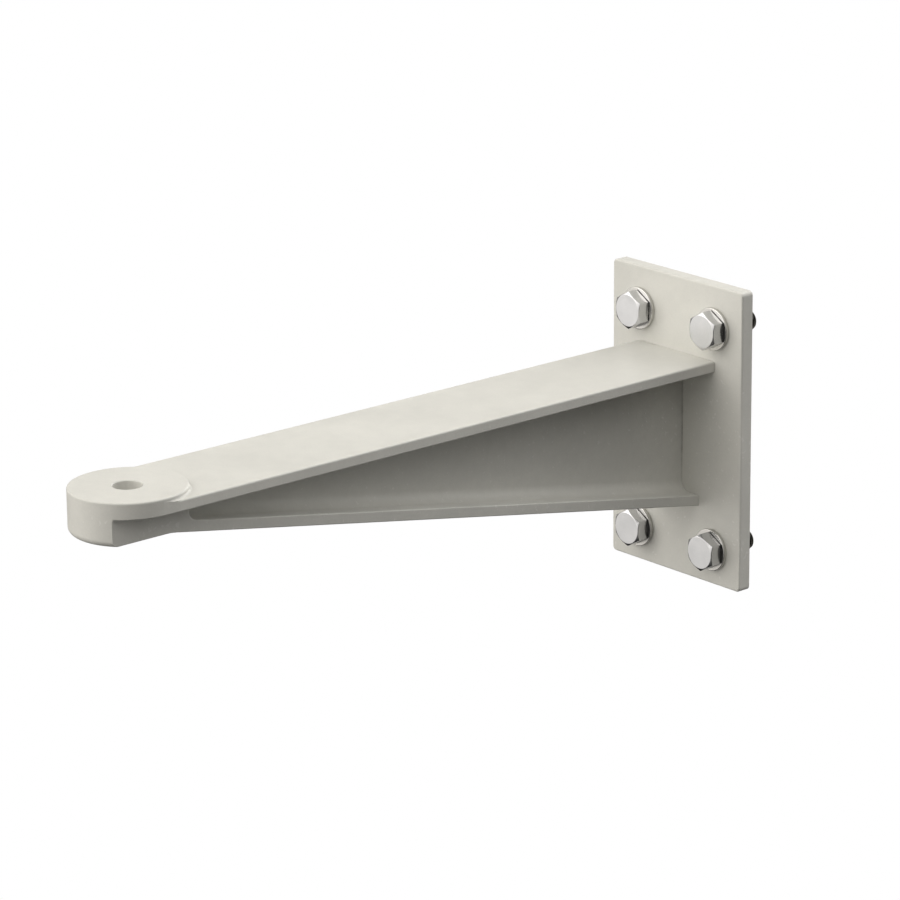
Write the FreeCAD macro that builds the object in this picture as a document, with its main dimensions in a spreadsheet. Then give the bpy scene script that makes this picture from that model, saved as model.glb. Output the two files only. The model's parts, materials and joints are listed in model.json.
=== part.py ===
import FreeCAD, Part
import math
import os
import Sketcher

# Wall bracket: one iron casting, a wall plate with a tapered arm of I section
# that ends in a round boss, held by four hexagon bolts on flat washers.
# Millimetres. The origin is the middle of the wall plate's back face, Z is up,
# the wall is the plane Y = 0 and the arm reaches out along -Y.

SIZES = {
    "plate_height": 200.0,
    "plate_width": 120.0,
    "plate_thick": 10.0,
    "plate_corner": 3.0,
    "plate_front_round": 1.2,
    "plate_back_chamfer": 0.8,
    "bore_reach": 450.0,
    "bore_dia": 18.0,
    "bore_rim_chamfer": 0.5,
    "boss_dia": 71.0,
    "boss_depth": 27.5,
    "boss_rise": 3.5,
    "boss_rim_round": 1.2,
    "boss_step_fillet": 1.2,
    "boss_stretch": 0.8,
    "boss_base_round": 4.0,
    "flange_level": 50.0,
    "flange_thick": 7.0,
    "flange_edge_round": 1.2,
    "flange_under_round": 0.8,
    "spine_width": 44.0,
    "spine_depth": 100.0,
    "spine_edge_round": 0.8,
    "taper_start": 15.0,
    "taper_bend": 40.0,
    "web_thick": 12.0,
    "foot_thick": 7.0,
    "recess_end": 28.0,
    "recess_fillet": 7.0,
    "web_top_fillet": 3.5,
    "bolt_spacing": 69.0,
    "bolt_top_margin": 28.2,
    "bolt_bottom_margin": 23.5,
    "bolt_hole_clearance": 1.25,
    "bolt_dia": 14.0,
    "bolt_length": 35.0,
    "bolt_neck_dia": 12.7,
    "bolt_neck_length": 6.0,
    "bolt_point": 1.5,
    "head_flats": 22.0,
    "head_height": 8.8,
    "head_face_share": 0.95,
    "head_chamfer_angle": 30.0,
    "washer_dia": 28.0,
    "washer_thick": 2.5,
    "washer_hole_clearance": 0.5,
    "washer_edge_chamfer": 0.4,
}

DOC = FreeCAD.newDocument("wall_bracket")
SHEET = DOC.addObject("Spreadsheet::Sheet", "Sizes")


class Dim:
    """A size with the expression that ties it to the sheet."""

    def __init__(self, value, text):
        self.value = value
        self.text = text

    def __add__(self, other):
        other = as_dim(other)
        return Dim(self.value + other.value, f"({self.text} + {other.text})")

    def __radd__(self, other):
        return as_dim(other) + self

    def __sub__(self, other):
        other = as_dim(other)
        return Dim(self.value - other.value, f"({self.text} - {other.text})")

    def __rsub__(self, other):
        return as_dim(other) - self

    def __mul__(self, other):
        other = as_dim(other)
        return Dim(self.value * other.value, f"({self.text} * {other.text})")

    def __rmul__(self, other):
        return as_dim(other) * self

    def __truediv__(self, other):
        other = as_dim(other)
        return Dim(self.value / other.value, f"({self.text} / {other.text})")

    def __neg__(self):
        return Dim(-self.value, f"(0 - {self.text})")


def as_dim(value):
    return value if isinstance(value, Dim) else Dim(float(value), repr(float(value)))


def root(value):
    value = as_dim(value)
    return Dim(math.sqrt(value.value), f"sqrt({value.text})")


def tangent(degrees):
    return Dim(math.tan(math.radians(degrees.value)), f"tan({degrees.text} * 1 deg)")


def fill_sheet():
    for row, (name, value) in enumerate(SIZES.items(), 1):
        SHEET.set(f"A{row}", name)
        SHEET.set(f"B{row}", str(value))
        SHEET.setAlias(f"B{row}", name)
    DOC.recompute()


def size(name):
    return Dim(SIZES[name], f"Sizes.{name}")


def bind(thing, prop, dim):
    thing.setExpression(prop, as_dim(dim).text)


# Sketches. A loop is a list of corners, each (x, y). A corner that ends a
# round stretch is (x, y, centre_x, centre_y, held), where held says which of
# the centre's two coordinates is tied.

def new_sketch(body, name, plane, shift=(0, 0, 0)):
    sketch = body.newObject("Sketcher::SketchObject", name)
    support = [f for f in body.Origin.OriginFeatures if f.Role == plane][0]
    sketch.AttachmentSupport = (support, "")
    sketch.MapMode = "FlatFace"
    for axis, dim in zip("xyz", shift):
        bind(sketch, f"AttachmentOffset.Base.{axis}", dim)
    return sketch


def pin(sketch, kind, geometry, point, dim):
    dim = as_dim(dim)
    index = sketch.addConstraint(Sketcher.Constraint(kind, -1, 1, geometry, point, dim.value))
    sketch.setExpression(f"Constraints[{index}]", dim.text)


def pin_point(sketch, geometry, point, x, y):
    pin(sketch, "DistanceX", geometry, point, x)
    pin(sketch, "DistanceY", geometry, point, y)


def vector(x, y):
    return FreeCAD.Vector(as_dim(x).value, as_dim(y).value, 0)


def arc_between(start, end, centre, outward):
    """The arc from start to end about centre, anticlockwise if outward."""
    radius = (start - centre).Length
    first = math.atan2(start.y - centre.y, start.x - centre.x)
    last = math.atan2(end.y - centre.y, end.x - centre.x)
    circle = Part.Circle(centre, FreeCAD.Vector(0, 0, 1), radius)
    if outward:
        return Part.ArcOfCircle(circle, first, last)
    return Part.ArcOfCircle(circle, last, first)


def add_loop(sketch, corners):
    """Add a closed loop of straight and round stretches, each end tied."""
    edges = []
    for index, corner in enumerate(corners):
        before = corners[index - 1]
        start = vector(before[0], before[1])
        end = vector(corner[0], corner[1])
        if len(corner) == 2:
            number = sketch.addGeometry(Part.LineSegment(start, end), False)
            edges.append((number, 1, 2))
            continue
        centre = vector(corner[2], corner[3])
        turn = (start - centre).cross(end - centre).z
        outward = turn > 0
        number = sketch.addGeometry(arc_between(start, end, centre, outward), False)
        edges.append((number, 1, 2) if outward else (number, 2, 1))
        if corner[4] == "x":
            pin(sketch, "DistanceX", number, 3, corner[2])
        else:
            pin(sketch, "DistanceY", number, 3, corner[3])
    for index, (number, first, last) in enumerate(edges):
        following = edges[(index + 1) % len(edges)]
        sketch.addConstraint(
            Sketcher.Constraint("Coincident", number, last, following[0], following[1])
        )
        pin_point(sketch, number, last, corners[index][0], corners[index][1])


def add_circle(sketch, x, y, diameter):
    circle = Part.Circle(vector(x, y), FreeCAD.Vector(0, 0, 1), diameter.value / 2)
    number = sketch.addGeometry(circle, False)
    pin_point(sketch, number, 3, x, y)
    index = sketch.addConstraint(Sketcher.Constraint("Diameter", number, diameter.value))
    sketch.setExpression(f"Constraints[{index}]", diameter.text)


def rectangle(x_low, y_low, x_high, y_high):
    return [(x_low, y_low), (x_high, y_low), (x_high, y_high), (x_low, y_high)]


# Features

def finish_feature(feature):
    DOC.recompute()
    if "Invalid" in feature.State or "Error" in feature.State or feature.Shape.isNull():
        raise RuntimeError(f"{feature.Name} failed: {feature.State}")
    return feature


def pad(body, name, sketch, length, flip=False):
    feature = body.newObject("PartDesign::Pad", name)
    feature.Profile = sketch
    feature.Reversed = flip
    bind(feature, "Length", length)
    return finish_feature(feature)


def pocket(body, name, sketch, one_way=False):
    """Cut right through both ways from the sketch, or only along its normal."""
    before = body.Tip.Shape.Volume
    feature = body.newObject("PartDesign::Pocket", name)
    feature.Profile = sketch
    feature.Type = "ThroughAll"
    feature.SideType = "One side" if one_way else "Symmetric"
    feature.Reversed = one_way
    finish_feature(feature)
    if feature.Shape.Volume >= before:
        raise RuntimeError(f"{name} cut nothing")
    return feature


def revolve(body, name, sketch, angle=360.0, kind="PartDesign::Revolution"):
    feature = body.newObject(kind, name)
    feature.Profile = sketch
    feature.ReferenceAxis = (sketch, ["V_Axis"])
    feature.Midplane = angle < 360.0
    feature.Angle = angle
    return finish_feature(feature)


def mirror(body, name, original):
    feature = body.newObject("PartDesign::Mirrored", name)
    feature.Originals = [original]
    plane = [f for f in body.Origin.OriginFeatures if f.Role == "YZ_Plane"][0]
    feature.MirrorPlane = (plane, [""])
    body.Tip = feature
    return finish_feature(feature)


def ease_edges(body, kind, name, wanted):
    """Add a fillet or a chamfer to each edge of the body that the test wanted picks."""
    base = body.Tip
    names = [f"Edge{i}" for i, edge in enumerate(base.Shape.Edges, 1) if wanted(edge)]
    if not names:
        raise RuntimeError(f"{name} found no edge")
    feature = body.newObject(kind, name)
    feature.Base = (base, names)
    return feature


def round_edges(body, name, wanted, radius):
    feature = ease_edges(body, "PartDesign::Fillet", name, wanted)
    bind(feature, "Radius", radius)
    return finish_feature(feature)


def chamfer_edges(body, name, wanted, width):
    feature = ease_edges(body, "PartDesign::Chamfer", name, wanted)
    bind(feature, "Size", width)
    return finish_feature(feature)


NEAR = 1e-4


def is_near(value, dim):
    return abs(value - as_dim(dim).value) < NEAR


def middle(edge):
    return edge.valueAt((edge.FirstParameter + edge.LastParameter) / 2)


def lies_at(edge, axis, dim):
    """True if the whole edge lies at plus or minus dim along the axis."""
    points = [vertex.Point for vertex in edge.Vertexes] + [middle(edge)]
    return all(is_near(abs(getattr(point, axis)), abs(as_dim(dim).value)) for point in points)


def runs_along(edge, axis):
    ends = [vertex.Point for vertex in edge.Vertexes]
    if len(ends) < 2 or edge.Curve.TypeId != "Part::GeomLine":
        return False
    return is_near(abs(getattr(ends[1] - ends[0], axis)), edge.Length)


def is_circle(edge, radius):
    return edge.Curve.TypeId == "Part::GeomCircle" and is_near(edge.Curve.Radius, radius)


# The casting. Levels are heights above the middle of the plate, and reaches
# are distances out from the wall.

plate_front = size("plate_thick")
plate_half = size("plate_width") / 2
plate_rise = size("plate_height") / 2
bore_reach = size("bore_reach")
boss_radius = size("boss_dia") / 2
flange_top = size("flange_level")
flange_under = flange_top - size("flange_thick")
boss_top = flange_top + size("boss_rise")
boss_under = boss_top - size("boss_depth")
spine_half = size("spine_width") / 2
spine_low = flange_top - size("spine_depth")
web_half = size("web_thick") / 2
taper_reach = bore_reach - size("taper_start")
taper_slope = (boss_under - spine_low) / (taper_reach - plate_front)
recess_reach = bore_reach - size("recess_end")


def add_flange(body):
    """The top flange, as wide as the boss, with its long edges eased."""
    sketch = new_sketch(body, "flange_section", "XZ_Plane")
    add_loop(sketch, rectangle(-boss_radius, flange_under, boss_radius, flange_top))
    pad(body, "flange", sketch, bore_reach)

    def long_edges(level):
        return lambda edge: runs_along(edge, "y") and lies_at(edge, "z", level)

    round_edges(body, "flange_top_edges", long_edges(flange_top), size("flange_edge_round"))
    round_edges(body, "flange_low_edges", long_edges(flange_under), size("flange_under_round"))


def add_boss_step(body):
    """The arm's side of the boss's head, with a hollow fillet cut flush with the flange."""
    step = size("boss_step_fillet")
    rim = size("boss_rim_round")
    stretch = size("boss_stretch")
    head_reach = bore_reach - stretch
    inside = boss_radius - rim - stretch
    outside = boss_radius + step
    low = flange_top - size("flange_edge_round")
    sketch = new_sketch(body, "boss_step_section", "YZ_Plane", (-head_reach, 0, 0))
    add_loop(sketch, [
        (inside, low),
        (outside, low),
        (outside, flange_top),
        (boss_radius, flange_top + step, outside, flange_top + step, "y"),
        (boss_radius, boss_top - rim),
        (boss_radius - rim, boss_top, boss_radius - rim, boss_top - rim, "x"),
        (inside, boss_top),
    ])
    revolve(body, "boss_step", sketch, 180.0)
    sketch = new_sketch(body, "boss_step_sides", "XY_Plane")
    near, far = -head_reach - step, -head_reach + outside
    add_loop(sketch, rectangle(boss_radius, near, outside + step, far))
    add_loop(sketch, rectangle(-outside - step, near, -boss_radius, far))
    pocket(body, "boss_step_trim", sketch)
    sketch = new_sketch(body, "boss_stretch_section", "XZ_Plane", (0, 0, head_reach))
    add_loop(sketch, [
        (-boss_radius, low),
        (boss_radius, low),
        (boss_radius, boss_top - rim),
        (boss_radius - rim, boss_top, boss_radius - rim, boss_top - rim, "x"),
        (rim - boss_radius, boss_top),
        (-boss_radius, boss_top - rim, rim - boss_radius, boss_top - rim, "x"),
    ])
    pad(body, "boss_stretch", sketch, stretch)


def add_boss_head(body):
    """The round head of the boss, with a rounded rim above and an eased lip below."""
    rim = size("boss_rim_round")
    lip = size("flange_under_round")
    sketch = new_sketch(body, "boss_head_section", "YZ_Plane", (-bore_reach, 0, 0))
    add_loop(sketch, [
        (0, flange_under),
        (boss_radius - lip, flange_under),
        (boss_radius, flange_under + lip, boss_radius - lip, flange_under + lip, "x"),
        (boss_radius, boss_top - rim),
        (boss_radius - rim, boss_top, boss_radius - rim, boss_top - rim, "x"),
        (0, boss_top),
    ])
    revolve(body, "boss_head", sketch)


def add_spine(body):
    """The deep rib under the flange, round at the nose and tapered along its underside."""
    join_level = flange_top - size("flange_thick") / 2
    nose_reach = bore_reach + root(boss_radius * boss_radius - spine_half * spine_half)
    sketch = new_sketch(body, "spine_plan", "XY_Plane", (0, 0, join_level))
    add_loop(sketch, [
        (spine_half, 0),
        (-spine_half, 0),
        (-spine_half, -nose_reach),
        (spine_half, -nose_reach, 0, -bore_reach, "y"),
    ])
    pad(body, "spine", sketch, join_level - spine_low, flip=True)
    below = spine_low - size("foot_thick")
    beyond = bore_reach + size("boss_dia")
    sketch = new_sketch(body, "underside", "YZ_Plane")
    add_loop(sketch, [
        (-plate_front, below),
        (-plate_front, spine_low),
        (-taper_reach, boss_under),
        (-beyond, boss_under),
        (-beyond, below),
    ])
    pocket(body, "taper", sketch)


def cut_recesses(body):
    """The hollow on each side, which leaves the web with a foot along its lower edge."""
    foot_rise = size("foot_thick") * root(1 + taper_slope * taper_slope)
    foot_at_wall = spine_low + foot_rise - taper_slope * plate_front
    foot_at_end = foot_at_wall + taper_slope * recess_reach
    sketch = new_sketch(body, "recess_outline", "YZ_Plane", (0, 0, web_half))
    add_loop(sketch, [
        (0, foot_at_wall),
        (0, flange_under),
        (-recess_reach, flange_under),
        (-recess_reach, foot_at_end),
    ])
    cut = pocket(body, "recess", sketch, one_way=True)
    mirror(body, "recess_other_side", cut)


def ease_spine(body):
    """The fillets inside the recesses, and the eased edges of the foot and the boss."""
    def recess_floor(edge):
        point = middle(edge)
        if lies_at(edge, "y", recess_reach) and runs_along(edge, "x"):
            return point.z < flange_under.value - NEAR
        beside_web = lies_at(edge, "x", web_half) and not lies_at(edge, "z", flange_under)
        return beside_web and not is_near(point.y, 0)

    def taper_bend(edge):
        return lies_at(edge, "y", taper_reach) and lies_at(edge, "z", boss_under)

    def outer_edge(edge):
        point = middle(edge)
        at_ends = is_near(point.y, 0) or point.y < -bore_reach.value
        upright_end = runs_along(edge, "z") and at_ends
        below_flange = point.z < flange_under.value - NEAR
        return lies_at(edge, "x", spine_half) and below_flange and not upright_end

    def web_top(edge):
        return lies_at(edge, "x", web_half) and lies_at(edge, "z", flange_under)

    round_edges(body, "recess_fillets", recess_floor, size("recess_fillet"))
    round_edges(body, "taper_bend", taper_bend, size("taper_bend"))
    round_edges(body, "spine_edges", outer_edge, size("spine_edge_round"))
    round_edges(body, "web_top_fillets", web_top, size("web_top_fillet"))


def round_boss_base(body):
    """The large rounding under the nose of the boss, which dies out at its flat sides."""
    edge = size("boss_base_round")
    inside = boss_radius - edge
    outside = boss_radius + edge
    sketch = new_sketch(body, "boss_base_section", "YZ_Plane", (-bore_reach, 0, 0))
    add_loop(sketch, [
        (-inside, boss_under),
        (-boss_radius, boss_under + edge, -inside, boss_under + edge, "x"),
        (-outside, boss_under + edge),
        (-outside, boss_under - edge),
        (-inside, boss_under - edge),
    ])
    revolve(body, "boss_base_cut", sketch, 180.0, "PartDesign::Groove")


def add_plate(body):
    """The wall plate, with rounded corners, a rounded front edge and a chamfered back one."""
    corner = size("plate_corner")
    x, z = plate_half, plate_rise
    near_x, near_z = x - corner, z - corner
    sketch = new_sketch(body, "plate_outline", "XZ_Plane")
    add_loop(sketch, [
        (near_x, -z),
        (x, -near_z, near_x, -near_z, "x"),
        (x, near_z),
        (near_x, z, near_x, near_z, "x"),
        (-near_x, z),
        (-x, near_z, -near_x, near_z, "x"),
        (-x, -near_z),
        (-near_x, -z, -near_x, -near_z, "x"),
    ])
    pad(body, "plate", sketch, plate_front)

    def on_outline(edge):
        point = middle(edge)
        return abs(point.x) > near_x.value or abs(point.z) > near_z.value

    def front_edge(edge):
        return lies_at(edge, "y", plate_front) and on_outline(edge)

    def back_edge(edge):
        return lies_at(edge, "y", 0) and on_outline(edge)

    round_edges(body, "plate_front_edges", front_edge, size("plate_front_round"))
    chamfer_edges(body, "plate_back_edges", back_edge, size("plate_back_chamfer"))


def cut_holes(body):
    """The upright bore through the boss and the four bolt holes through the plate."""
    sketch = new_sketch(body, "bore_circle", "XY_Plane")
    add_circle(sketch, 0, -bore_reach, size("bore_dia"))
    pocket(body, "bore", sketch)

    def bore_rim(edge):
        at_face = lies_at(edge, "z", boss_top) or lies_at(edge, "z", boss_under)
        return at_face and is_circle(edge, size("bore_dia") / 2)

    chamfer_edges(body, "bore_rims", bore_rim, size("bore_rim_chamfer"))
    sketch = new_sketch(body, "bolt_circles", "XZ_Plane")
    hole_dia = size("bolt_dia") + 2 * size("bolt_hole_clearance")
    for x, z in bolt_centres():
        add_circle(sketch, x, z, hole_dia)
    pocket(body, "bolt_holes", sketch)


def make_casting():
    body = DOC.addObject("PartDesign::Body", "bracket_casting")
    add_flange(body)
    add_boss_step(body)
    add_boss_head(body)
    add_spine(body)
    cut_recesses(body)
    ease_spine(body)
    round_boss_base(body)
    add_plate(body)
    cut_holes(body)
    return body


# The fasteners. A bolt is made upright, the underside of its head at the
# origin, and is then turned to point into the wall.

def bolt_centres():
    """The four bolt centres as (x, z): the top pair, then the bottom pair."""
    x = size("bolt_spacing") / 2
    top = plate_rise - size("bolt_top_margin")
    bottom = size("bolt_bottom_margin") - plate_rise
    return [(-x, top), (x, top), (-x, bottom), (x, bottom)]


def solid(kind, name, **dims):
    thing = DOC.addObject(kind, name)
    for prop, dim in dims.items():
        bind(thing, prop, dim)
    return thing


def shift(thing, **dims):
    for axis, dim in dims.items():
        bind(thing, f"Placement.Base.{axis}", dim)


def make_bolt(name, x, z):
    """A hexagon bolt: chamfered head, flats to the sides, plain neck, thread and point."""
    height = size("head_height")
    face = size("head_flats") * size("head_face_share") / 2
    radius = size("bolt_dia") / 2
    neck = size("bolt_neck_length")
    point = size("bolt_point")
    length = size("bolt_length")
    corner = size("head_flats") / root(3)
    hexagon = solid("Part::Prism", f"{name}_hexagon", Circumradius=corner, Height=height)
    hexagon.Polygon = 6
    hexagon.Placement.Rotation = FreeCAD.Rotation(FreeCAD.Vector(0, 0, 1), 30)
    spread = face + height / tangent(size("head_chamfer_angle"))
    chamfer = solid("Part::Cone", f"{name}_chamfer", Radius1=spread, Radius2=face, Height=height)
    head = DOC.addObject("Part::Common", f"{name}_head")
    head.Base = hexagon
    head.Tool = chamfer
    neck_radius = size("bolt_neck_dia") / 2
    shank = solid("Part::Cylinder", f"{name}_neck", Radius=neck_radius, Height=neck)
    shift(shank, z=-neck)
    thread = solid("Part::Cylinder", f"{name}_thread", Radius=radius, Height=length - neck - point)
    shift(thread, z=point - length)
    tip = solid("Part::Cone", f"{name}_tip", Radius1=radius - point, Radius2=radius, Height=point)
    shift(tip, z=-length)
    bolt = DOC.addObject("Part::MultiFuse", name)
    bolt.Shapes = [head, shank, thread, tip]
    bolt.Placement.Rotation = FreeCAD.Rotation(FreeCAD.Vector(1, 0, 0), 90)
    shift(bolt, x=x, y=-plate_front - size("washer_thick"), z=z)
    return bolt


def make_washer_section():
    """Half the section of a washer, its front edge chamfered, beside its axis."""
    inner = size("bolt_dia") / 2 + size("washer_hole_clearance")
    outer = size("washer_dia") / 2
    back = -plate_front
    front = back - size("washer_thick")
    edge = size("washer_edge_chamfer")
    sketch = DOC.addObject("Sketcher::SketchObject", "washer_section")
    add_loop(sketch, [
        (inner, front),
        (outer - edge, front),
        (outer, front + edge),
        (outer, back),
        (inner, back),
    ])
    return sketch


def make_washer(name, section, x, z):
    washer = DOC.addObject("Part::Revolution", name)
    washer.Source = section
    washer.Axis = FreeCAD.Vector(0, 1, 0)
    washer.Angle = 360.0
    washer.Solid = True
    shift(washer, x=x, z=z)
    return washer


def group(name, pieces):
    """Several equal solids kept together as one piece of the part."""
    whole = DOC.addObject("Part::Compound", name)
    whole.Links = pieces
    return whole


def make_bolts():
    pieces = [make_bolt(f"bolt_{i}", x, z) for i, (x, z) in enumerate(bolt_centres(), 1)]
    return group("hex_bolts", pieces)


def make_washers():
    section = make_washer_section()
    pieces = [
        make_washer(f"washer_{i}", section, x, z) for i, (x, z) in enumerate(bolt_centres(), 1)
    ]
    return group("flat_washers", pieces)


def check_document():
    DOC.recompute()
    for thing in DOC.Objects:
        if "Invalid" in thing.State or "Error" in thing.State:
            raise RuntimeError(f"{thing.Name} failed: {thing.State}")


def export(piece, solids):
    shape = piece.Shape
    if shape.isNull() or not shape.isValid() or len(shape.Solids) != solids:
        raise RuntimeError(f"{piece.Name} isn't {solids} sound solids")
    shape.exportStep(f"parts/{piece.Label}.step")
    print(piece.Label, solids, round(shape.Volume), shape.BoundBox)


def main():
    fill_sheet()
    casting = make_casting()
    bolts = make_bolts()
    washers = make_washers()
    check_document()
    os.makedirs("parts", exist_ok=True)
    export(casting, 1)
    export(bolts, 4)
    export(washers, 4)


main()
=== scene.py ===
# The looks of a painted cast wall bracket with its bolts and washers. Metres.
import json
import math
import bmesh
import bpy
from mathutils import Matrix, Vector


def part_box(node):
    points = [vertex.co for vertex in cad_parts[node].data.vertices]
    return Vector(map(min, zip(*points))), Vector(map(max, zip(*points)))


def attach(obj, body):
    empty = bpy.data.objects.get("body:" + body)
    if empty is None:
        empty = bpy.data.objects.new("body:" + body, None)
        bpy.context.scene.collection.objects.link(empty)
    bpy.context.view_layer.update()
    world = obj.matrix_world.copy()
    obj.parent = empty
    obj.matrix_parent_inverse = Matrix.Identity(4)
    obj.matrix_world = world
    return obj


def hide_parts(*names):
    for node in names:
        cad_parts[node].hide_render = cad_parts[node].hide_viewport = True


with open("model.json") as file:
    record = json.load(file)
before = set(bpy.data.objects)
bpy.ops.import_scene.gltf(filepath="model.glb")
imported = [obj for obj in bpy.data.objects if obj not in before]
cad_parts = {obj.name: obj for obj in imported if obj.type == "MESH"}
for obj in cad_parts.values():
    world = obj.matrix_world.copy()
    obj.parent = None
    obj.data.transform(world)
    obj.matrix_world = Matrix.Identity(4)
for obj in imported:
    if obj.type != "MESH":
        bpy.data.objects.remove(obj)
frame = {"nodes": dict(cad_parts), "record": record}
SCENE = bpy.context.scene
MM = 0.001


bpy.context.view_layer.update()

# Sizes. What the frame gives is read from it: the bolt pattern and the thread's radius
# from the wall plate's mount, the heads, shanks and washers from their nodes' boxes.

PATTERN = next(m for m in frame["record"]["mounts"] if m["name"] == "wall_bolts")
HALF_ACROSS = PATTERN["dims"]["spacing_x_mm"] * MM / 2
HALF_DOWN = PATTERN["dims"]["spacing_y_mm"] * MM / 2
BOLT_CENTRES = [
    (PATTERN["pos_m"][0] + side * HALF_ACROSS, PATTERN["pos_m"][2] + level * HALF_DOWN)
    for level in (1, -1)
    for side in (-1, 1)
]
BOLT_LOW, BOLT_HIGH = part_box("hex_bolts")
WASHER_LOW, WASHER_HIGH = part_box("flat_washers")
THREAD_RADIUS = PATTERN["dims"]["stud_r_mm"] * MM
HALF_FLATS = BOLT_HIGH.x - HALF_ACROSS
HEAD_HEIGHT = WASHER_LOW.y - BOLT_LOW.y
SHANK_LENGTH = BOLT_HIGH.y - WASHER_LOW.y
WASHER_RADIUS = WASHER_HIGH.x - HALF_ACROSS

# What is chosen here. Edges that turn by more than the ..._SHARP angle are rounded.

HEAD_FACE_RADIUS = 0.96 * HALF_FLATS
HEAD_CHAMFER = math.radians(30)
HEAD_ROUND = 0.2 * MM
HEAD_ROUND_STEPS = 2
HEAD_SHARP = math.radians(20)
SEAT_HEIGHT = 0.5 * MM
SEAT_RADIUS = 0.94 * HALF_FLATS
NECK_RADIUS = 6.35 * MM
NECK_LENGTH = 6.0 * MM
POINT_LENGTH = 1.5 * MM

THREAD_PITCH = 2.0 * MM
THREAD_DEPTH = 0.6134 * THREAD_PITCH
THREAD_CREST = THREAD_PITCH / 8
THREAD_ROOT = THREAD_PITCH / 4
THREAD_START = WASHER_LOW.y + NECK_LENGTH
SPARE_TURNS = 2

WASHER_HOLE_RADIUS = 7.5 * MM
WASHER_FRONT_ROUND = 0.55 * MM
WASHER_FRONT_STEPS = 5
WASHER_ROUND = 0.4 * MM
WASHER_ROUND_STEPS = 3
WASHER_SHARP = math.radians(80)

# How finely things are made: the steps in a full turn, the angle from which an edge
# is drawn sharp, and the gaps under which points are one or lie on a cut.

ROUND_STEPS = 96
THREAD_STEPS = 48
SHARP_ANGLE = math.radians(35)
WELD_GAP = 0.001 * MM
CUT_GAP = 0.0001 * MM


# Meshes

def only(kind, geom):
    return [part for part in geom if isinstance(part, kind)]


def add_object(name, bm, material):
    """Put the bmesh into the scene as an object of one material."""
    mesh = bpy.data.meshes.new(name)
    bm.to_mesh(mesh)
    bm.free()
    mesh.materials.append(material)
    made = bpy.data.objects.new(name, mesh)
    SCENE.collection.objects.link(made)
    return made


def finish_piece(name, bm, body, material, replaced):
    """Make the piece from its bmesh: flat faces stay flat, and thread crests stay crisp."""
    bmesh.ops.recalc_face_normals(bm, faces=bm.faces)
    piece = add_object(name, bm, material)
    piece.data.shade_smooth()
    piece.data.set_sharp_from_angle(angle=SHARP_ANGLE)
    flatten = piece.modifiers.new("flat faces", "WEIGHTED_NORMAL")
    flatten.keep_sharp = True
    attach(piece, body)
    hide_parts(replaced)


def round_sharp_edges(bm, edges, radius, segments, angle):
    """Round those of the edges whose two faces meet at more than the angle."""
    sharp = [e for e in edges if len(e.link_faces) == 2 and e.calc_face_angle() > angle]
    bmesh.ops.bevel(
        bm, geom=sharp, offset=radius, offset_type="OFFSET", segments=segments, profile=0.5,
        affect="EDGES", material=-1,
    )


def copy_to_bolts(bm):
    """Put one copy at each bolt centre, its axis Z turned to point out of the wall."""
    one = bm.verts[:] + bm.edges[:] + bm.faces[:]
    turn = Matrix.Rotation(math.radians(90), 4, "X")
    bmesh.ops.transform(bm, matrix=turn, verts=bm.verts)
    sets = [one]
    for _ in BOLT_CENTRES[1:]:
        sets.append(bmesh.ops.duplicate(bm, geom=one)["geom"])
    for geom, (x, z) in zip(sets, BOLT_CENTRES):
        bmesh.ops.translate(bm, vec=(x, 0, z), verts=only(bmesh.types.BMVert, geom))


def hexagon_reach(angle):
    """How far the hexagon reaches along this angle, its flats facing plus and minus X."""
    sixth = math.radians(60)
    return HALF_FLATS / math.cos((angle + sixth / 2) % sixth - sixth / 2)


def chamfer_level(angle):
    """How high the chamfer of the head's face meets the hexagon along this angle."""
    return HEAD_HEIGHT - (hexagon_reach(angle) - HEAD_FACE_RADIUS) * math.tan(HEAD_CHAMFER)


def extrude_rim(bm, edges):
    """Extrude a rim of edges and return its new verts and edges."""
    new = bmesh.ops.extrude_edge_only(bm, edges=edges)["geom"]
    verts = only(bmesh.types.BMVert, new)
    rim = [e for e in only(bmesh.types.BMEdge, new) if all(v in verts for v in e.verts)]
    return verts, rim


def set_radius(verts, radius, height):
    """Move verts to a radius and a height about Z, each a number or a function of the angle."""
    for v in verts:
        angle = math.atan2(v.co.y, v.co.x)
        reach = radius(angle) if callable(radius) else radius
        level = height(angle) if callable(height) else height
        v.co = (reach * math.cos(angle), reach * math.sin(angle), level)


def make_head(bm):
    """The head and its neck about Z, the neck open at its end."""
    face = bmesh.ops.create_circle(
        bm, cap_ends=True, segments=ROUND_STEPS, radius=HEAD_FACE_RADIUS
    )["verts"]
    bmesh.ops.translate(bm, vec=(0, 0, HEAD_HEIGHT), verts=face)
    rim = [e for e in bm.edges if all(v in face for v in e.verts)]
    for radius, height in (
        (hexagon_reach, chamfer_level),
        (hexagon_reach, SEAT_HEIGHT),
        (SEAT_RADIUS, SEAT_HEIGHT),
        (SEAT_RADIUS, 0),
        (NECK_RADIUS, 0),
        (NECK_RADIUS, -NECK_LENGTH),
    ):
        verts, rim = extrude_rim(bm, rim)
        set_radius(verts, radius, height)
    above_thread = [e for e in bm.edges if max(v.co.z for v in e.verts) > -NECK_LENGTH / 2]
    round_sharp_edges(bm, above_thread, HEAD_ROUND, HEAD_ROUND_STEPS, HEAD_SHARP)


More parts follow.
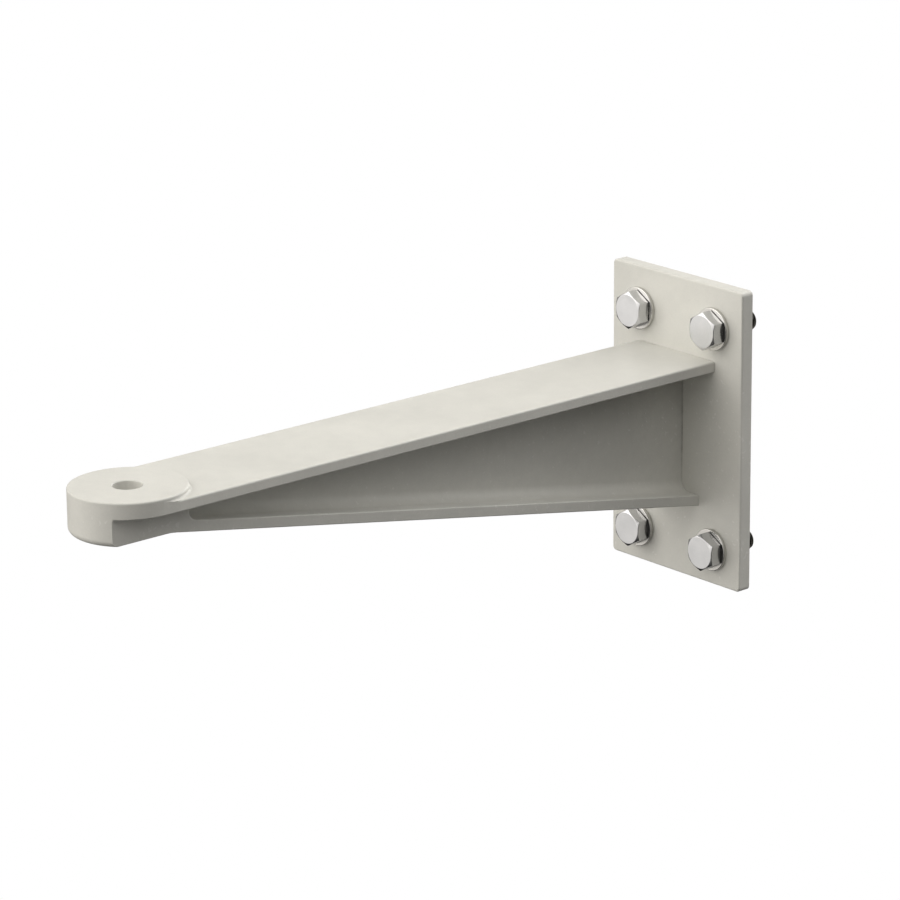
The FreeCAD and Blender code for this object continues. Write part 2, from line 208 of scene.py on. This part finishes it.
def make_thread(bm):
    """A helical thread about Z, cut off square at the neck and pointed at its closed end."""
    root_radius = THREAD_RADIUS - THREAD_DEPTH
    middle = THREAD_PITCH / 2
    profile = (
        (0, root_radius),
        (THREAD_ROOT / 2, root_radius),
        (middle - THREAD_CREST / 2, THREAD_RADIUS),
        (middle + THREAD_CREST / 2, THREAD_RADIUS),
        (THREAD_PITCH - THREAD_ROOT / 2, root_radius),
        (THREAD_PITCH, root_radius),
    )
    top, bottom = -NECK_LENGTH, -SHANK_LENGTH
    turns = math.ceil((top - bottom) / THREAD_PITCH) + SPARE_TURNS
    start = bottom - SPARE_TURNS * THREAD_PITCH
    points = [bm.verts.new((radius, 0, start + level)) for level, radius in profile]
    chain = [bm.edges.new(pair) for pair in zip(points, points[1:])]
    bmesh.ops.spin(
        bm, geom=points + chain, cent=(0, 0, 0), axis=(0, 0, 1), angle=math.tau * turns,
        dvec=(0, 0, THREAD_PITCH / THREAD_STEPS), steps=turns * THREAD_STEPS,
    )
    bmesh.ops.remove_doubles(bm, verts=bm.verts, dist=WELD_GAP)
    for level, away in ((top, 1), (bottom, -1)):
        bmesh.ops.bisect_plane(
            bm, geom=bm.verts[:] + bm.edges[:] + bm.faces[:], dist=CUT_GAP,
            plane_co=(0, 0, level), plane_no=(0, 0, away), clear_outer=True,
        )
    for v in bm.verts:
        limit = THREAD_RADIUS - POINT_LENGTH + (v.co.z - bottom)
        reach = math.hypot(v.co.x, v.co.y)
        if reach > limit:
            v.co.x *= limit / reach
            v.co.y *= limit / reach
    ends = [e for e in bm.edges if e.is_boundary]
    low_end = [e for e in ends if e.verts[0].co.z < (top + bottom) / 2]
    bmesh.ops.edgeloop_fill(bm, edges=low_end)


def make_bolts(material):
    bm = bmesh.new()
    make_thread(bm)
    make_head(bm)
    bmesh.ops.bridge_loops(bm, edges=[e for e in bm.edges if e.is_boundary])
    bmesh.ops.translate(bm, vec=(0, 0, -WASHER_LOW.y), verts=bm.verts)
    copy_to_bolts(bm)
    finish_piece("hex_bolts_steel", bm, "root", material, "hex_bolts")


def make_washers(material):
    bm = bmesh.new()
    front, back = -WASHER_LOW.y, -WASHER_HIGH.y
    corners = (
        (WASHER_HOLE_RADIUS, back),
        (WASHER_RADIUS, back),
        (WASHER_RADIUS, front),
        (WASHER_HOLE_RADIUS, front),
    )
    points = [bm.verts.new((radius, 0, level)) for radius, level in corners]
    chain = [bm.edges.new((points[i - 1], points[i])) for i in range(len(points))]
    bmesh.ops.spin(
        bm, geom=points + chain, cent=(0, 0, 0), axis=(0, 0, 1), angle=math.tau,
        steps=ROUND_STEPS, use_merge=True,
    )
    bmesh.ops.remove_doubles(bm, verts=bm.verts, dist=WELD_GAP)

    def on_front_rim(v):
        near_front = v.co.z > front - WASHER_ROUND
        return near_front and v.co.xy.length > WASHER_RADIUS - WASHER_ROUND

    rim = [e for e in bm.edges if all(on_front_rim(v) for v in e.verts)]
    round_sharp_edges(bm, rim, WASHER_FRONT_ROUND, WASHER_FRONT_STEPS, WASHER_SHARP)
    round_sharp_edges(bm, bm.edges, WASHER_ROUND, WASHER_ROUND_STEPS, WASHER_SHARP)
    copy_to_bolts(bm)
    finish_piece(
        "flat_washers_steel", bm, "root", material, "flat_washers"
    )


# Shaders. A Value is a socket with sums and products, and node adds any other node.

class Value:
    def __init__(self, tree, socket):
        self.tree = tree
        self.socket = socket

    def math(self, operation, *others):
        return node(self.tree, "ShaderNodeMath", {"operation": operation}, [self, *others])

    def __add__(self, other):
        return self.math("ADD", other)

    __radd__ = __add__

    def __mul__(self, other):
        return self.math("MULTIPLY", other)


def node(tree, kind, settings=None, values=None, output=0):
    """Add a node: its settings first, then its sockets' values or links, by key or in order."""
    made = tree.nodes.new(kind)
    for name, value in (settings or {}).items():
        setattr(made, name, value)
    pairs = values.items() if isinstance(values, dict) else enumerate(values or [])
    for key, value in pairs:
        socket = made.inputs[key]
        if isinstance(value, Value):
            tree.links.new(value.socket, socket)
        else:
            socket.default_value = value
    return Value(tree, made.outputs[output]) if made.outputs else None


def noise(tree, place, scale, detail, rough=0.5):
    values = {"Vector": place, "Scale": scale, "Detail": detail, "Roughness": rough}
    return node(tree, "ShaderNodeTexNoise", {}, values)


def weigh(layers, weights):
    """The sum of the layers, each times its weight."""
    return sum(layer * weight for layer, weight in zip(layers, weights))


def spread(tree, value, ends, results=(0.0, 1.0)):
    """Stretch a value from its ends to the results, and hold it there beyond them."""
    return node(tree, "ShaderNodeMapRange", {}, [value, *ends, *results])


# The colour sockets of a Mix node have the names of its other sockets, so all of
# them go by number.
MIX_SHARE, MIX_FIRST, MIX_SECOND, MIX_RESULT = 0, 6, 7, 2


def mix_colour(tree, share, first, second):
    values = {MIX_SHARE: share, MIX_FIRST: first, MIX_SECOND: second}
    return node(tree, "ShaderNodeMix", {"data_type": "RGBA"}, values, MIX_RESULT)


def bump(tree, height, strength, distance):
    values = {"Strength": strength, "Distance": distance, "Height": height}
    return node(tree, "ShaderNodeBump", {}, values)


def new_material(name):
    material = bpy.data.materials.new(name)
    material.use_nodes = True
    tree = material.node_tree
    tree.nodes.clear()
    return material, tree


def end_material(tree, values):
    shader = node(tree, "ShaderNodeBsdfPrincipled", {}, values)
    node(tree, "ShaderNodeOutputMaterial", {}, {"Surface": shader})


# The paint. The noises' scales are in cells a metre. A pair of ends is the range of a
# noise, or of the height, over which the look goes from one state to the other.

PAINT_LIGHT = (0.699, 0.693, 0.650, 1)
PAINT_DARK = (0.645, 0.641, 0.602, 1)
PAINT_CLOUDS = 24.0
PAINT_MOTTLE = 150.0
PAINT_GRAIN = 800.0
PAINT_DETAIL = 3.0
PAINT_GRAIN_ROUGH = 0.6
SHADE_WEIGHTS = (0.4, 0.3, 0.3)
SHADE_ENDS = (0.38, 0.62)

# Nibs, coloured only under the arm's top, where its flange shelters them.
NIB_COLOUR = (0.80, 0.79, 0.76, 1)
NIB_SCALE = 340.0
NIB_DETAIL = 1.0
NIB_CLOUDS = 0.3
NIB_ENDS = (0.84, 0.90)
NIB_SHARE = 0.6
SHELTER_ENDS = (43 * MM, 50 * MM)

# Painted shade in the creases, where the ambient occlusion finds them closed in: less of it in
# the open, and least at the foot's fillets.
CREASE_SHADE_COLOUR = (0.33, 0.32, 0.30, 1)
CREASE_REACH = 1.8 * MM
CREASE_RAYS = 8
CREASE_MOTTLE = 0.4
CREASE_ENDS = (0.55, 1.0)
OPEN_CREASE_SHADE = 0.4
CREASE_SHADE_CLOUD_ENDS = (0.35, 0.55)
CREASE_SHADE_CLOUD_SHARES = (0.6, 1.0)
FOOT_FILLET_ENDS = (-38 * MM, -24 * MM)
FOOT_FILLET_SHARES = (0.3, 1.0)

PAINT_GLOSS_WEIGHTS = (0.5, 0.5)
PAINT_GLOSS_ENDS = (0.35, 0.65)
PAINT_ROUGHNESS = (0.46, 0.58)
PAINT_RELIEF_WEIGHTS = (0.35, 0.5, 0.4)
PAINT_RELIEF = 0.42
PAINT_RELIEF_DEPTH = 0.25 * MM
PAINT_COAT = 0.08
PAINT_COAT_ROUGHNESS = 0.3


def make_paint():
    """Satin paint, warm pale grey, over a sand casting: fine grain, nibs and painted shade in
    the creases.
    """
    material, tree = new_material("cast_paint")
    place = node(tree, "ShaderNodeTexCoord", output="Object")
    clouds = noise(tree, place, PAINT_CLOUDS, PAINT_DETAIL)
    mottle = noise(tree, place, PAINT_MOTTLE, PAINT_DETAIL)
    grain = noise(tree, place, PAINT_GRAIN, PAINT_DETAIL, PAINT_GRAIN_ROUGH)
    specks = noise(tree, place, NIB_SCALE, NIB_DETAIL)
    nibs = spread(tree, specks + clouds * NIB_CLOUDS, NIB_ENDS)
    shade = spread(tree, weigh((clouds, mottle, grain), SHADE_WEIGHTS), SHADE_ENDS)
    paint = mix_colour(tree, shade, PAINT_DARK, PAINT_LIGHT)

    height = node(tree, "ShaderNodeSeparateXYZ", {}, [place], output="Z")
    sheltered = spread(tree, height, SHELTER_ENDS, (1.0, 0.0))
    paint = mix_colour(tree, nibs * sheltered * NIB_SHARE, paint, NIB_COLOUR)

    # Painted shade: the paint darkens in the creases, more under the arm's top where the flange
    # shades it, less at the foot's fillets.
    openness = node(
        tree, "ShaderNodeAmbientOcclusion", {"samples": CREASE_RAYS, "only_local": True},
        {"Distance": CREASE_REACH}, output="AO",
    )
    crease_shade = spread(tree, openness + mottle * CREASE_MOTTLE, CREASE_ENDS, (1.0, 0.0))
    crease_shade = crease_shade * (sheltered * (1 - OPEN_CREASE_SHADE) + OPEN_CREASE_SHADE)
    crease_shade = crease_shade * spread(tree, clouds, CREASE_SHADE_CLOUD_ENDS, CREASE_SHADE_CLOUD_SHARES)
    crease_shade = crease_shade * spread(tree, height, FOOT_FILLET_ENDS, FOOT_FILLET_SHARES)
    colour = mix_colour(tree, crease_shade, paint, CREASE_SHADE_COLOUR)

    gloss = weigh((clouds, mottle), PAINT_GLOSS_WEIGHTS)
    relief = weigh((grain, mottle, nibs), PAINT_RELIEF_WEIGHTS)
    end_material(tree, {
        "Base Color": colour,
        "Roughness": spread(tree, gloss, PAINT_GLOSS_ENDS, PAINT_ROUGHNESS),
        "Normal": bump(tree, relief, PAINT_RELIEF, PAINT_RELIEF_DEPTH),
        "Coat Weight": PAINT_COAT,
        "Coat Roughness": PAINT_COAT_ROUGHNESS,
    })
    return material


# The steel of the fasteners: two shades and two degrees of roughness for each kind,
# between which its clouds lead.

BOLT_STEEL = ((0.668, 0.672, 0.688, 1), (0.618, 0.622, 0.638, 1))
BOLT_ROUGHNESS = (0.2, 0.26)
WASHER_STEEL = ((0.64, 0.632, 0.612, 1), (0.59, 0.582, 0.562, 1))
WASHER_ROUGHNESS = (0.19, 0.25)
THREAD_DARK_COLOUR = (0.10, 0.097, 0.09, 1)
STEEL_CLOUDS = 90.0
STEEL_CLOUD_DETAIL = 3.0
STEEL_CLOUD_ENDS = (0.3, 0.7)
STEEL_GRAIN = 1500.0
STEEL_GRAIN_DETAIL = 2.0
STEEL_RELIEF = 0.1
STEEL_RELIEF_DEPTH = 0.02 * MM


def make_steel(name, shades, roughness):
    """Bright plated steel with faint clouds in its colour and gloss, dark on the thread."""
    material, tree = new_material(name)
    place = node(tree, "ShaderNodeTexCoord", output="Object")
    clouds = noise(tree, place, STEEL_CLOUDS, STEEL_CLOUD_DETAIL)
    grain = noise(tree, place, STEEL_GRAIN, STEEL_GRAIN_DETAIL)
    plating = mix_colour(tree, spread(tree, clouds, STEEL_CLOUD_ENDS), *shades)
    depth = node(tree, "ShaderNodeSeparateXYZ", {}, [place], output="Y")
    # The thread from the neck on is coloured dark.
    thread_share = spread(tree, depth, (THREAD_START - MM, THREAD_START))
    end_material(tree, {
        "Base Color": mix_colour(tree, thread_share, plating, THREAD_DARK_COLOUR),
        "Metallic": 1.0,
        "Roughness": spread(tree, clouds, STEEL_CLOUD_ENDS, roughness),
        "Normal": bump(tree, grain, STEEL_RELIEF, STEEL_RELIEF_DEPTH),
    })
    return material


# The camera. Its place was found from the photograph: its angles about the wall
# plate's centre, its distance along the line of sight, and how far it stands off that
# line to the side and upwards. Its focal length is in the picture's pixels.

VIEW_TURN = math.radians(49.466)
VIEW_RISE = math.radians(17.222)
VIEW_ROLL = math.radians(-0.522)
VIEW_DISTANCE = 2.81645
VIEW_SIDE = 0.153961
VIEW_UP = 0.01835
VIEW_FOCUS = 4334.57
VIEW_END = 50.0
PICTURE_WIDTH = 900
SENSOR_WIDTH = 36.0


def view_axes():
    """The camera's directions to its right, up and back."""
    turn, rise, roll = VIEW_TURN, VIEW_RISE, VIEW_ROLL
    back = Vector((
        math.sin(turn) * math.cos(rise), -math.cos(turn) * math.cos(rise), math.sin(rise)
    ))
    level = Vector((math.cos(turn), math.sin(turn), 0))
    upright = back.cross(level)
    right = level * math.cos(roll) + upright * math.sin(roll)
    up = upright * math.cos(roll) - level * math.sin(roll)
    return right, up, back


def add_camera():
    right, up, back = view_axes()
    place = back * VIEW_DISTANCE - right * VIEW_SIDE - up * VIEW_UP
    data = bpy.data.cameras.new("camera")
    data.sensor_width = SENSOR_WIDTH
    data.lens = VIEW_FOCUS / PICTURE_WIDTH * SENSOR_WIDTH
    data.clip_end = VIEW_END
    camera = bpy.data.objects.new("camera", data)
    rotation = Matrix((right, up, back)).transposed().to_4x4()
    camera.matrix_world = Matrix.Translation(place) @ rotation
    SCENE.collection.objects.link(camera)
    SCENE.camera = camera


# The light all round, as soft lobes that were fitted to the photograph: the direction
# that each comes from and its strength. Most comes from behind the wall's face and
# from the upper left in front of it, and none from the right below the horizon.

FRONT_TINT = (1.03, 1.0, 0.95)
FRONT_LOBES = (
    ((-1, -1, 0), 1.48),
    ((-1, -1, 1), 2.14),
    ((-1, 0, 0), 0.27),
    ((0, -1, 0), 1.16),
    ((0, -1, 1), 1.9),
    ((0, 0, 1), 0.25),
    ((1, -1, 1), 0.16),
)
REAR_TINT = (1.015, 1.0, 0.975)
REAR_LOBES = (
    ((0, 0, -1), 0.24),
    ((0, 1, -1), 0.27),
    ((0, 1, 0), 4.2),
    ((0, 1, 1), 3.0),
    ((1, 0, 1), 0.84),
    ((1, 0, 2), 0.5),
    ((1, 1, 1), 0.36),
)
LOBE_POWER = 10.0


def add_lobes(tree, way, lobes):
    """How bright the lobes are together in a direction."""
    parts = []
    for direction, strength in lobes:
        heading = tuple(Vector(direction).normalized())
        facing = node(
            tree, "ShaderNodeVectorMath", {"operation": "DOT_PRODUCT"}, [way, heading],
            output="Value",
        )
        parts.append(facing.math("MAXIMUM", 0.0).math("POWER", LOBE_POWER) * strength)
    return sum(parts)


def make_sky():
    world = bpy.data.worlds.new("studio")
    SCENE.world = world
    world.use_nodes = True
    tree = world.node_tree
    tree.nodes.clear()
    way = node(tree, "ShaderNodeTexCoord", output="Generated")
    tinted = [
        node(
            tree, "ShaderNodeVectorMath", {"operation": "SCALE"},
            {"Vector": tint, "Scale": add_lobes(tree, way, lobes)},
        )
        for tint, lobes in ((FRONT_TINT, FRONT_LOBES), (REAR_TINT, REAR_LOBES))
    ]
    light = node(tree, "ShaderNodeVectorMath", {"operation": "ADD"}, tinted)
    background = node(tree, "ShaderNodeBackground", {}, {"Color": light})
    node(tree, "ShaderNodeOutputWorld", {}, {"Surface": background})


FLOOR_COLOUR = (1, 1, 1, 1)
FLOOR_LEVEL = -4.0
FLOOR_RADIUS = 20.0
FLOOR_STEPS = 64
DOME_DEGREES = 10


def make_floor():
    """A white floor far below that rises all round into a dome. Only the camera sees it."""
    material, tree = new_material("white_floor")
    glow = node(tree, "ShaderNodeEmission", {}, {"Color": FLOOR_COLOUR, "Strength": 1.0})
    node(tree, "ShaderNodeOutputMaterial", {}, {"Surface": glow})
    bm = bmesh.new()
    bmesh.ops.create_circle(bm, cap_ends=True, segments=FLOOR_STEPS, radius=FLOOR_RADIUS)
    bmesh.ops.translate(bm, vec=(0, 0, FLOOR_LEVEL), verts=bm.verts)
    rim = bm.edges[:]
    for degrees in range(DOME_DEGREES, 90, DOME_DEGREES):
        slope = math.radians(degrees)
        verts, rim = extrude_rim(bm, rim)
        level = FLOOR_LEVEL + FLOOR_RADIUS * math.sin(slope)
        set_radius(verts, FLOOR_RADIUS * math.cos(slope), level)
    bmesh.ops.edgeloop_fill(bm, edges=rim)
    floor = add_object("floor", bm, material)
    floor.visible_diffuse = False
    floor.visible_glossy = False
    floor.visible_shadow = False


def dress(node_name, material):
    for slot in frame["nodes"][node_name].material_slots:
        slot.material = material


SCENE.view_settings.view_transform = "Standard"
dress("bracket_casting", make_paint())
make_bolts(make_steel("bolt_steel", BOLT_STEEL, BOLT_ROUGHNESS))
make_washers(make_steel("washer_steel", WASHER_STEEL, WASHER_ROUGHNESS))
make_floor()
make_sky()
add_camera()
